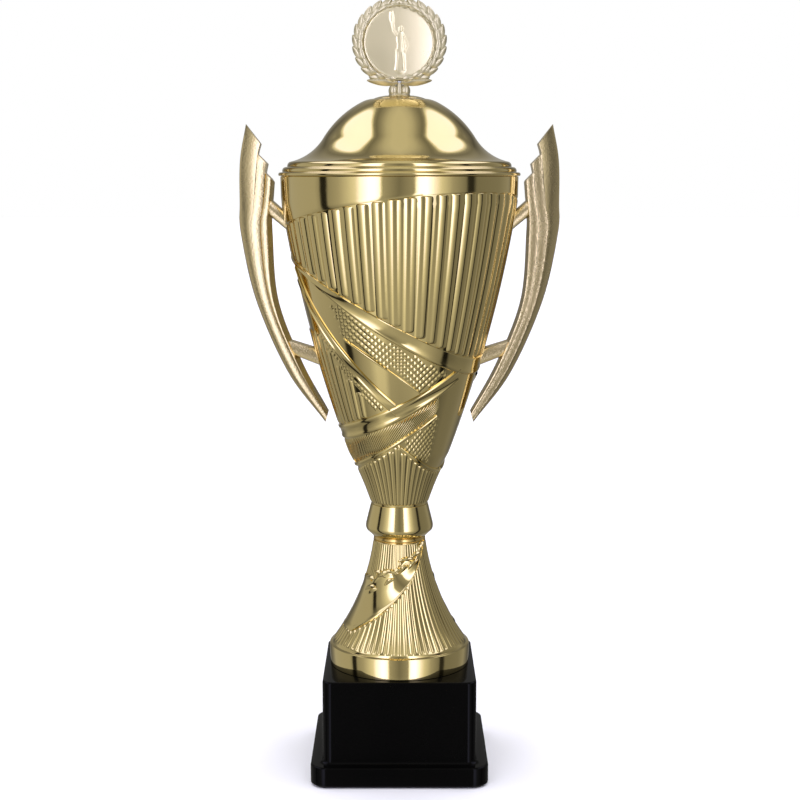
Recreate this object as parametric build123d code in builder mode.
from build123d import *
from math import cos, degrees, radians, sin
import os

os.makedirs("parts", exist_ok=True)

# A lidded two-handled presentation cup on a square plinth, in millimetres.
# +Z is up, the front looks along -Y, and the origin lies under the middle of the base.

# ---- Driving dimensions -------------------------------------------------------------
pad_thickness = 1.5
pad_width = 121.0
pad_corner = 10.0

flange_width = 125.0
flange_corner = 12.0
flange_top = 15.0
plinth_width = 108.0
plinth_corner = 7.0
plinth_top = 74.0
plinth_wall = 3.0
plinth_top_wall = 4.0
plinth_cove = 3.0
plinth_edge = 1.2

bottom_plate_width = 114.6
bottom_plate_thickness = 3.0
bottom_plate_gap = 0.2
base_screw_spacing = 88.0
base_screw_radius = 1.4
base_screw_head_radius = 3.0
base_screw_length = 15.0
boss_radius = 4.0

weight_radius = 49.0
weight_thickness = 12.0

rod_radius = 3.0
rod_hole_radius = 3.3
rod_tail = 5.0
nut_width_across_flats = 10.0
nut_height = 5.0
large_washer_radius = 10.0
washer_thickness = 1.6

foot_radius = 51.2
foot_shoulder_radius = 49.4
foot_shoulder_height = 15.0
foot_shoulder_step = 0.8
foot_neck_radius = 18.8
foot_top = 163.0
foot_wall = 2.0
foot_web = 3.0

ring_top = 167.5
ring_edge = 0.8
collar_top = 191.5
collar_radius = 24.2
collar_widest = 174.8
collar_wall = 2.6

bowl_base_radius = 20.5
bowl_floor = 4.0
bowl_wall = 2.0
bowl_rim_radius = 83.2
bowl_rim = 424.0

handle_thickness = 18.0
handle_screw_radius = 2.0
handle_screw_length = 16.0
handle_screw_head_radius = 4.0
handle_screw_head_height = 2.6
handle_washer_radius = 4.5
handle_washer_thickness = 0.8
handle_boss_radius = 5.5
upper_screw_height = 396.5
upper_boss_face = 77.2
lower_screw_height = 299.5
lower_boss_face = 54.6

lid_skirt_radius = 80.6
lid_skirt_wall = 2.0
lid_skirt_depth = 8.0
lid_rim_radius = 84.3
lid_seat = 434.0
lid_foot_radius = 75.5
lid_wall = 1.8
lid_crown_radius = 26.1
lid_crown = 475.0
lid_top = 477.0
lid_top_radius = 17.7
cap_thickness = 2.1
cap_edge = 0.6

wreath_thickness = 7.0
wreath_ring_radius = 26.4
wreath_leaves = 9
leaf_row_half_width = 26.3
leaf_row_half_height = 23.1
leaf_first_angle = -74.0
leaf_step_angle = 18.5
leaf_lean = 38.0
leaf_length = 13.0
leaf_width = 6.4
wreath_neck_radius = 7.6
wreath_neck_top = 492.0
emblem_radius = 24.2
emblem_thickness = 2.0
emblem_clearance = 0.2
emblem_height = 515.2
tape_radius = 20.0
tape_thickness = 0.8
lid_screw_radius = 2.0
lid_screw_hole_radius = 2.2
lid_screw_length = 14.0

# ---- Heights and places that follow -------------------------------------------------
plinth_bottom = pad_thickness
ceiling = plinth_top - plinth_top_wall
weight_bottom = ceiling - weight_thickness
lower_washer_bottom = weight_bottom - washer_thickness
lower_nut_bottom = lower_washer_bottom - nut_height
rod_bottom = lower_nut_bottom - rod_tail
bowl_floor_top = collar_top + bowl_floor
upper_washer_top = bowl_floor_top + washer_thickness
upper_nut_top = upper_washer_top + nut_height
rod_top = upper_nut_top + rod_tail
cap_top = lid_top + cap_thickness
lid_inner_top = lid_top - lid_wall
emblem_front = -wreath_thickness / 2
emblem_back = emblem_front + emblem_thickness
tape_back = emblem_back + tape_thickness
screw_rows = (
    (upper_boss_face, upper_screw_height),
    (lower_boss_face, lower_screw_height),
)


def bowl_outline(inset, bottom):
    """Half outline of the bowl, from its bottom edge up to the rim, moved in by inset."""
    waist = (36.5 - inset, 229.0)
    Line((0, bottom), (bowl_base_radius - inset, bottom))
    ThreePointArc((bowl_base_radius - inset, bottom), (27.2 - inset, 209.5), waist)
    ThreePointArc(waist, (70.6 - inset, 343.0), (82.8 - inset, 406.0))
    Line((82.8 - inset, 406.0), (bowl_rim_radius - inset, bowl_rim))
    Line((bowl_rim_radius - inset, bowl_rim), (0, bowl_rim))
    Line((0, bowl_rim), (0, bottom))


def drill(radius, low, high):
    """Cut an upright round hole on the axis of the part being built."""
    with Locations((0, 0, (low + high) / 2)):
        Cylinder(radius, high - low, mode=Mode.SUBTRACT)


def washer(name, radius, hole, low, thickness):
    """A flat washer on the centre axis."""
    with BuildPart() as piece:
        with BuildSketch(Plane.XY.offset(low)):
            Circle(radius)
            Circle(hole, mode=Mode.SUBTRACT)
        extrude(amount=thickness)
    save(piece, name)


def hex_nut(name, low):
    """A hexagon nut on the tie rod."""
    with BuildPart() as piece:
        with BuildSketch(Plane.XY.offset(low)):
            RegularPolygon(nut_width_across_flats / 2, 6, major_radius=False)
            Circle(rod_radius, mode=Mode.SUBTRACT)
        extrude(amount=nut_height)
    save(piece, name)


def save(piece, name):
    """Label a finished piece and write it to its own file."""
    piece.part.label = name
    export_step(piece.part, f"parts/{name}.step")


# ---- Plinth -------------------------------------------------------------------------
with BuildPart() as base_pad:
    with BuildSketch():
        RectangleRounded(pad_width, pad_width, pad_corner)
    extrude(amount=pad_thickness)
save(base_pad, "base_pad")

with BuildPart() as plinth_shell:
    with BuildSketch(Plane.XY.offset(plinth_bottom)):
        RectangleRounded(flange_width, flange_width, flange_corner)
    extrude(amount=flange_top - plinth_bottom)
    fillet(plinth_shell.edges().group_by(Axis.Z)[-1], plinth_edge)
    with BuildSketch(Plane.XY.offset(flange_top)):
        RectangleRounded(plinth_width, plinth_width, plinth_corner)
    extrude(amount=plinth_top - flange_top)
    fillet(plinth_shell.edges().group_by(Axis.Z)[-1], plinth_edge)
    flange_face = plinth_shell.faces().filter_by_position(Axis.Z, flange_top, flange_top)[0]
    fillet(flange_face.inner_wires()[0].edges(), plinth_cove)
    # The hollow, its rebate for the bottom plate and the four screw posts.
    with BuildSketch(Plane.XY.offset(plinth_bottom)):
        hollow_width = plinth_width - 2 * plinth_wall
        RectangleRounded(hollow_width, hollow_width, plinth_corner - plinth_wall)
        with GridLocations(base_screw_spacing, base_screw_spacing, 2, 2):
            Circle(boss_radius, mode=Mode.SUBTRACT)
    extrude(amount=ceiling - plinth_bottom, mode=Mode.SUBTRACT)
    with BuildSketch(Plane.XY.offset(plinth_bottom)):
        rebate_width = bottom_plate_width + 2 * bottom_plate_gap
        RectangleRounded(rebate_width, rebate_width, plinth_corner)
    extrude(amount=bottom_plate_thickness, mode=Mode.SUBTRACT)
    with BuildSketch(Plane.XY.offset(plinth_bottom)):
        with GridLocations(base_screw_spacing, base_screw_spacing, 2, 2):
            Circle(base_screw_radius)
    extrude(amount=base_screw_length, mode=Mode.SUBTRACT)
    drill(rod_hole_radius, ceiling, plinth_top)
save(plinth_shell, "plinth_shell")

with BuildPart() as bottom_plate:
    with BuildSketch(Plane.XY.offset(plinth_bottom)):
        RectangleRounded(bottom_plate_width, bottom_plate_width, plinth_corner - bottom_plate_gap)
    extrude(amount=bottom_plate_thickness)
    with Locations(Plane.XY.offset(plinth_bottom).rotated((180, 0, 0))):
        with GridLocations(base_screw_spacing, base_screw_spacing, 2, 2):
            CounterSinkHole(base_screw_radius, base_screw_head_radius, bottom_plate_thickness, 90)
save(bottom_plate, "bottom_plate")

with BuildPart() as base_screws:
    cone_height = base_screw_head_radius - base_screw_radius
    with BuildSketch(Plane.XY.offset(plinth_bottom)):
        with GridLocations(base_screw_spacing, base_screw_spacing, 2, 2):
            Circle(base_screw_radius)
    extrude(amount=base_screw_length)
    with Locations((0, 0, plinth_bottom + cone_height / 2)):
        with GridLocations(base_screw_spacing, base_screw_spacing, 2, 2):
            Cone(base_screw_head_radius, base_screw_radius, cone_height)
save(base_screws, "base_screws")

with BuildPart() as plinth_weight:
    with BuildSketch(Plane.XY.offset(weight_bottom)):
        Circle(weight_radius)
        Circle(rod_hole_radius, mode=Mode.SUBTRACT)
    extrude(amount=weight_thickness)
save(plinth_weight, "plinth_weight")

# ---- Tie rod and its fastenings -----------------------------------------------------
with BuildPart() as tie_rod:
    with BuildSketch(Plane.XY.offset(rod_bottom)):
        Circle(rod_radius)
    extrude(amount=rod_top - rod_bottom)
save(tie_rod, "tie_rod")

washer("rod_lower_washer", large_washer_radius, rod_hole_radius, lower_washer_bottom, washer_thickness)
hex_nut("rod_lower_nut", lower_nut_bottom)
washer("bowl_washer", large_washer_radius, rod_hole_radius, bowl_floor_top, washer_thickness)
hex_nut("bowl_nut", upper_washer_top)

# ---- Stem: trumpet foot, thin ring and collar ---------------------------------------
foot_shoulder = plinth_top + foot_shoulder_height
foot_shoulder_top = foot_shoulder + 1.0
with BuildPart() as foot_shell:
    with BuildSketch(Plane.XZ):
        with BuildLine():
            Polyline(
                (0, plinth_top),
                (foot_radius, plinth_top),
                (foot_shoulder_radius, foot_shoulder),
                (foot_shoulder_radius - foot_shoulder_step, foot_shoulder_top),
            )
            ThreePointArc(
                (foot_shoulder_radius - foot_shoulder_step, foot_shoulder_top),
                (29.8, 124.0),
                (foot_neck_radius, foot_top),
            )
            Polyline((foot_neck_radius, foot_top), (0, foot_top), (0, plinth_top))
        make_face()
    revolve(axis=Axis.Z)
    with BuildSketch(Plane.XZ):
        with BuildLine():
            inner_neck = foot_neck_radius - foot_wall
            inner_shoulder = foot_shoulder_radius - 2 * foot_wall
            web_bottom = foot_top - foot_web
            Polyline(
                (0, plinth_top),
                (foot_radius - foot_wall, plinth_top),
                (inner_shoulder, foot_shoulder - foot_wall),
            )
            ThreePointArc(
                (inner_shoulder, foot_shoulder - foot_wall),
                (27.0, 124.0),
                (inner_neck, web_bottom),
            )
            Polyline((inner_neck, web_bottom), (0, web_bottom), (0, plinth_top))
        make_face()
    revolve(axis=Axis.Z, mode=Mode.SUBTRACT)
    drill(rod_hole_radius, web_bottom, foot_top)
save(foot_shell, "foot_shell")

with BuildPart() as foot_ring:
    with BuildSketch(Plane.XY.offset(foot_top)):
        Circle(foot_neck_radius)
    extrude(amount=ring_top - foot_top)
    fillet(foot_ring.edges().filter_by(GeomType.CIRCLE), ring_edge)
    drill(rod_hole_radius, foot_top, ring_top)
save(foot_ring, "foot_ring")

with BuildPart() as collar:
    with BuildSketch(Plane.XZ):
        with BuildLine():
            Polyline((0, ring_top), (foot_neck_radius, ring_top), (collar_radius - 0.3, collar_widest - 2))
            ThreePointArc(
                (collar_radius - 0.3, collar_widest - 2),
                (collar_radius, collar_widest),
                (collar_radius - 0.2, collar_widest + 2),
            )
            Line((collar_radius - 0.2, collar_widest + 2), (bowl_base_radius, collar_top))
            Polyline((bowl_base_radius, collar_top), (0, collar_top), (0, ring_top))
        make_face()
    revolve(axis=Axis.Z)
    with BuildSketch(Plane.XZ):
        with BuildLine():
            Polyline(
                (0, ring_top),
                (foot_neck_radius - collar_wall, ring_top),
                (collar_radius - collar_wall - 0.6, collar_widest),
                (bowl_base_radius - collar_wall, collar_top - foot_web),
                (0, collar_top - foot_web),
                (0, ring_top),
            )
        make_face()
    revolve(axis=Axis.Z, mode=Mode.SUBTRACT)
    drill(rod_hole_radius, collar_top - foot_web, collar_top)
save(collar, "collar")

# ---- Bowl ---------------------------------------------------------------------------
with BuildPart() as bowl_blank:
    with BuildSketch(Plane.XZ):
        with BuildLine():
            bowl_outline(0, collar_top)
        make_face()
    revolve(axis=Axis.Z)

# The space inside the bowl, with the four flat screw pads left standing in it.
with BuildPart() as bowl_space:
    with BuildSketch(Plane.XZ):
        with BuildLine():
            bowl_outline(bowl_wall, collar_top)
        make_face()
    revolve(axis=Axis.Z)
    with BuildSketch(Plane.XY.offset(collar_top)):
        Circle(lid_rim_radius)
    extrude(amount=bowl_floor, mode=Mode.SUBTRACT)
    for pad_face, pad_height in screw_rows:
        for side in (-1, 1):
            with BuildSketch(Plane(origin=(side * pad_face, 0, pad_height), z_dir=(side, 0, 0))):
                Circle(handle_boss_radius)
            extrude(amount=pad_face, mode=Mode.SUBTRACT)

with BuildPart() as bowl:
    add(bowl_blank.part)
    add(bowl_space.part, mode=Mode.SUBTRACT)
    drill(rod_hole_radius, collar_top, bowl_floor_top)
    for pad_face, pad_height in screw_rows:
        with BuildSketch(Plane.YZ.offset(-lid_rim_radius)):
            with Locations((0, pad_height)):
                Circle(handle_screw_radius)
        extrude(amount=2 * lid_rim_radius, mode=Mode.SUBTRACT)
save(bowl, "bowl")

# ---- Handles ------------------------------------------------------------------------
# Outline of one handle, up its outer back from the lower tip, down the three steps at its
# top, and back along its inner edge past the two arms that reach into the bowl.
for side, handle_name in ((-1, "handle_left"), (1, "handle_right")):
    with BuildPart() as handle:
        with BuildSketch(Plane.XZ):
            with BuildLine():
                Spline((52.9, 249.8), (79.4, 285.8), (101.5, 337.1), (111.6, 384.0))
                Spline((111.6, 384.0), (112.1, 405.0), (111.5, 435.0), (107.0, 459.9))
                Polyline(
                    (107.0, 459.9),
                    (96.7, 446.1),
                    (98.9, 439.2),
                    (92.0, 432.3),
                    (93.4, 426.1),
                    (87.2, 419.8),
                    (88.4, 407.0),
                    (70.0, 391.0),
                    (70.0, 379.0),
                    (89.4, 394.8),
                )
                Spline((89.4, 394.8), (88.9, 371.0), (83.9, 333.5), (77.0, 309.4))
                Polyline((77.0, 309.4), (50.0, 301.1), (50.0, 288.3), (70.8, 296.3))
                Spline((70.8, 296.3), (62.6, 278.6), (50.4, 258.4))
                Line((50.4, 258.4), (52.9, 249.8))
            make_face()
            if side < 0:
                mirror(about=Plane.YZ, mode=Mode.REPLACE)
        extrude(amount=handle_thickness / 2, both=True)
        add(bowl_blank.part, mode=Mode.SUBTRACT)
        for pad_face, pad_height in screw_rows:
            tip = pad_face - handle_washer_thickness + handle_screw_length
            with BuildSketch(Plane(origin=(0, 0, pad_height), z_dir=(side, 0, 0))):
                Circle(handle_screw_radius)
            extrude(amount=tip, mode=Mode.SUBTRACT)
    save(handle, handle_name)

with BuildPart() as handle_washers:
    for pad_face, pad_height in screw_rows:
        for side in (-1, 1):
            with BuildSketch(Plane(origin=(side * pad_face, 0, pad_height), z_dir=(-side, 0, 0))):
                Circle(handle_washer_radius)
                Circle(handle_screw_radius, mode=Mode.SUBTRACT)
            extrude(amount=handle_washer_thickness)
save(handle_washers, "handle_washers")

with BuildPart() as handle_screws:
    for pad_face, pad_height in screw_rows:
        seat = pad_face - handle_washer_thickness
        for side in (-1, 1):
            with BuildSketch(Plane(origin=(side * seat, 0, pad_height), z_dir=(side, 0, 0))):
                Circle(handle_screw_radius)
            extrude(amount=handle_screw_length)
            with BuildSketch(Plane(origin=(side * seat, 0, pad_height), z_dir=(-side, 0, 0))):
                Circle(handle_screw_head_radius)
            extrude(amount=handle_screw_head_height)
save(handle_screws, "handle_screws")

# ---- Lid ----------------------------------------------------------------------------
with BuildPart() as lid_rim:
    with BuildSketch(Plane.XZ):
        with BuildLine():
            skirt_inside = lid_skirt_radius - lid_skirt_wall
            skirt_bottom = bowl_rim - lid_skirt_depth
            Polyline(
                (skirt_inside, skirt_bottom),
                (lid_skirt_radius, skirt_bottom),
                (lid_skirt_radius, bowl_rim),
                (lid_rim_radius, bowl_rim),
            )
            ThreePointArc((lid_rim_radius, bowl_rim), (lid_rim_radius + 0.3, 425.2), (83.2, 426.6))
            Line((83.2, 426.6), (81.6, 427.0))
            ThreePointArc((81.6, 427.0), (81.4, 429.0), (79.6, 430.2))
            Line((79.6, 430.2), (78.2, 430.6))
            ThreePointArc((78.2, 430.6), (77.8, 432.6), (lid_foot_radius, lid_seat))
            Polyline((lid_foot_radius, lid_seat), (72.4, lid_seat), (skirt_inside, skirt_bottom))
        make_face()
    revolve(axis=Axis.Z)
save(lid_rim, "lid_rim")

with BuildPart() as lid_shell:
    with BuildSketch(Plane.XZ):
        with BuildLine():
            ThreePointArc((lid_foot_radius, lid_seat), (62.0, 440.4), (53.0, 450.3))
            ThreePointArc((53.0, 450.3), (42.6, 463.2), (lid_crown_radius, lid_crown))
            Polyline(
                (lid_crown_radius, lid_crown),
                (lid_top_radius, lid_top),
                (lid_screw_hole_radius, lid_top),
                (lid_screw_hole_radius, lid_inner_top),
                (lid_top_radius, lid_inner_top),
                (lid_crown_radius - 0.8, lid_crown - lid_wall),
            )
            ThreePointArc(
                (lid_crown_radius - 0.8, lid_crown - lid_wall),
                (41.2, 462.0),
                (51.4, 449.4),
            )
            ThreePointArc((51.4, 449.4), (60.8, 439.0), (lid_foot_radius - 3.0, lid_seat))
            Line((lid_foot_radius - 3.0, lid_seat), (lid_foot_radius, lid_seat))
        make_face()
    revolve(axis=Axis.Z)
save(lid_shell, "lid_shell")

with BuildPart() as lid_cap:
    with BuildSketch(Plane.XY.offset(lid_top)):
        Circle(lid_top_radius)
    extrude(amount=cap_thickness)
    fillet(lid_cap.edges().group_by(Axis.Z)[-1], cap_edge)
    drill(lid_screw_hole_radius, lid_top, cap_top)
save(lid_cap, "lid_cap")

# ---- Wreath holder and its emblem ---------------------------------------------------
with BuildPart() as wreath_holder:
    with BuildSketch(Plane.XZ.offset(-wreath_thickness / 2)):
        with Locations((0, emblem_height)):
            Circle(wreath_ring_radius)
        for side in (-1, 1):
            for leaf in range(wreath_leaves):
                # Leaves fan out along each branch, from the crossing at the bottom to the top.
                turn = radians(leaf_first_angle + leaf * leaf_step_angle)
                leaf_x = side * leaf_row_half_width * cos(turn)
                leaf_z = emblem_height + leaf_row_half_height * sin(turn)
                lean = degrees(turn) + leaf_lean
                with Locations((leaf_x, leaf_z)):
                    Ellipse(leaf_length / 2, leaf_width / 2, rotation=lean if side > 0 else 180 - lean)
        with Locations((0, (cap_top + wreath_neck_top) / 2)):
            Rectangle(2 * wreath_neck_radius, wreath_neck_top - cap_top)
    extrude(amount=wreath_thickness)
    with BuildSketch(Plane.XZ.offset(-tape_back)):
        with Locations((0, emblem_height)):
            Circle(emblem_radius + emblem_clearance)
    extrude(amount=tape_back - emblem_front, mode=Mode.SUBTRACT)
    with BuildSketch(Plane.XY.offset(cap_top)):
        Circle(lid_screw_radius)
    extrude(amount=lid_screw_length - cap_thickness - lid_wall, mode=Mode.SUBTRACT)
save(wreath_holder, "wreath_holder")

with BuildPart() as emblem_tape:
    with BuildSketch(Plane.XZ.offset(-tape_back)):
        with Locations((0, emblem_height)):
            Circle(tape_radius)
    extrude(amount=tape_thickness)
save(emblem_tape, "emblem_tape")

with BuildPart() as emblem_disc:
    with BuildSketch(Plane.XZ.offset(-emblem_back)):
        with Locations((0, emblem_height)):
            Circle(emblem_radius)
    extrude(amount=emblem_thickness)
save(emblem_disc, "emblem_disc")

lid_washer_bottom = lid_inner_top - handle_washer_thickness
washer(
    "lid_washer",
    handle_washer_radius,
    lid_screw_hole_radius,
    lid_washer_bottom,
    handle_washer_thickness,
)

with BuildPart() as lid_screw:
    screw_seat = lid_inner_top - handle_washer_thickness
    with BuildSketch(Plane.XY.offset(screw_seat)):
        Circle(lid_screw_radius)
    extrude(amount=lid_screw_length + handle_washer_thickness)
    with BuildSketch(Plane.XY.offset(screw_seat - handle_screw_head_height)):
        Circle(handle_screw_head_radius)
    extrude(amount=handle_screw_head_height)
save(lid_screw, "lid_screw")
